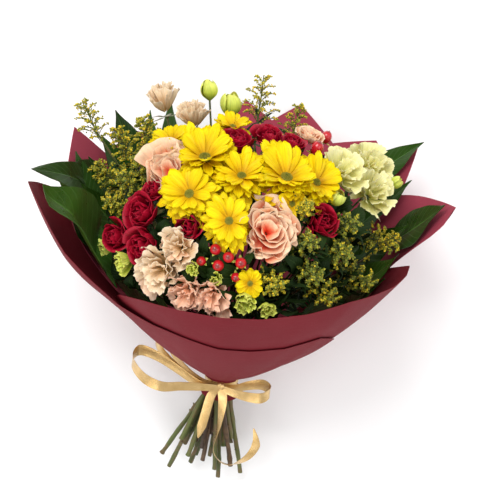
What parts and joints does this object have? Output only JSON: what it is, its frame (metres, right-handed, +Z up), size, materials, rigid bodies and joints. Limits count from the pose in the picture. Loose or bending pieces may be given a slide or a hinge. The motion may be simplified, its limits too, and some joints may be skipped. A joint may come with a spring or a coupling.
{
  "type": "flower bouquet",
  "caption": "hand-tied mixed bouquet of chrysanthemums, roses, lisianthus and goldenrod in pointed paper, tied with ribbon, lying on its back",
  "frame": {"origin": "middle of the bounding box, at the height of the surface that the bouquet lies on", "axes": "+Y from the cut stems towards the flowers, +Z up from the surface to the front of the bouquet, +X to its right as seen from above"},
  "size_m": [0.4591, 0.4731, 0.3358],
  "materials": {
    "paper": "matte crimson wrapping paper",
    "ribbon": "satin gold curling ribbon",
    "twine": "plain binding twine",
    "chrysanthemum": "soft yellow petals round a green disc",
    "rose": "velvety deep red petals",
    "garden_rose": "peach petals with paler edges",
    "lisianthus": "thin pinkish beige petals",
    "lisianthus_cream": "thin greenish cream petals",
    "stem": "fresh green stems, calyxes and buds",
    "berry": "smooth red berries on fresh stems",
    "goldenrod": "many small yellow green florets",
    "leaf": "glossy dark green leaves"
  },
  "bodies": {
    "root": {"berry_stem_1": "berry", "berry_stem_2": "berry", "binding_twine": "twine", "chrysanthemum_1": "chrysanthemum", "chrysanthemum_10": "chrysanthemum", "chrysanthemum_2": "chrysanthemum", "chrysanthemum_3": "chrysanthemum", "chrysanthemum_4": "chrysanthemum", "chrysanthemum_5": "chrysanthemum", "chrysanthemum_6": "chrysanthemum", "chrysanthemum_7": "chrysanthemum", "chrysanthemum_8": "chrysanthemum", "chrysanthemum_9": "chrysanthemum", "chrysanthemum_stem_1": "stem", "chrysanthemum_stem_2": "stem", "chrysanthemum_stem_3": "stem", "garden_rose_1": "garden_rose", "garden_rose_2": "garden_rose", "garden_rose_3": "garden_rose", "garden_rose_stem_1": "stem", "garden_rose_stem_2": "stem", "garden_rose_stem_3": "stem", "goldenrod_1": "goldenrod", "goldenrod_2": "goldenrod", "goldenrod_3": "goldenrod", "goldenrod_4": "goldenrod", "goldenrod_5": "goldenrod", "goldenrod_6": "goldenrod", "leafy_stem_1": "leaf", "leafy_stem_2": "leaf", "lisianthus_1": "lisianthus", "lisianthus_2": "lisianthus", "lisianthus_3": "lisianthus", "lisianthus_4": "lisianthus", "lisianthus_5": "lisianthus", "lisianthus_6": "lisianthus", "lisianthus_7": "lisianthus_cream", "lisianthus_8": "lisianthus_cream", "lisianthus_9": "lisianthus_cream", "lisianthus_stem_1": "stem", "lisianthus_stem_2": "stem", "lisianthus_stem_3": "stem", "ribbon": "ribbon", "rose_1": "rose", "rose_2": "rose", "rose_3": "rose", "rose_4": "rose", "rose_5": "rose", "rose_6": "rose", "rose_7": "rose", "rose_8": "rose", "rose_9": "rose", "rose_stem_1": "stem", "rose_stem_2": "stem", "rose_stem_3": "stem", "wrap_back_left": "paper", "wrap_back_right": "paper", "wrap_front_left": "paper", "wrap_front_right": "paper"}
  },
  "joints": []
}
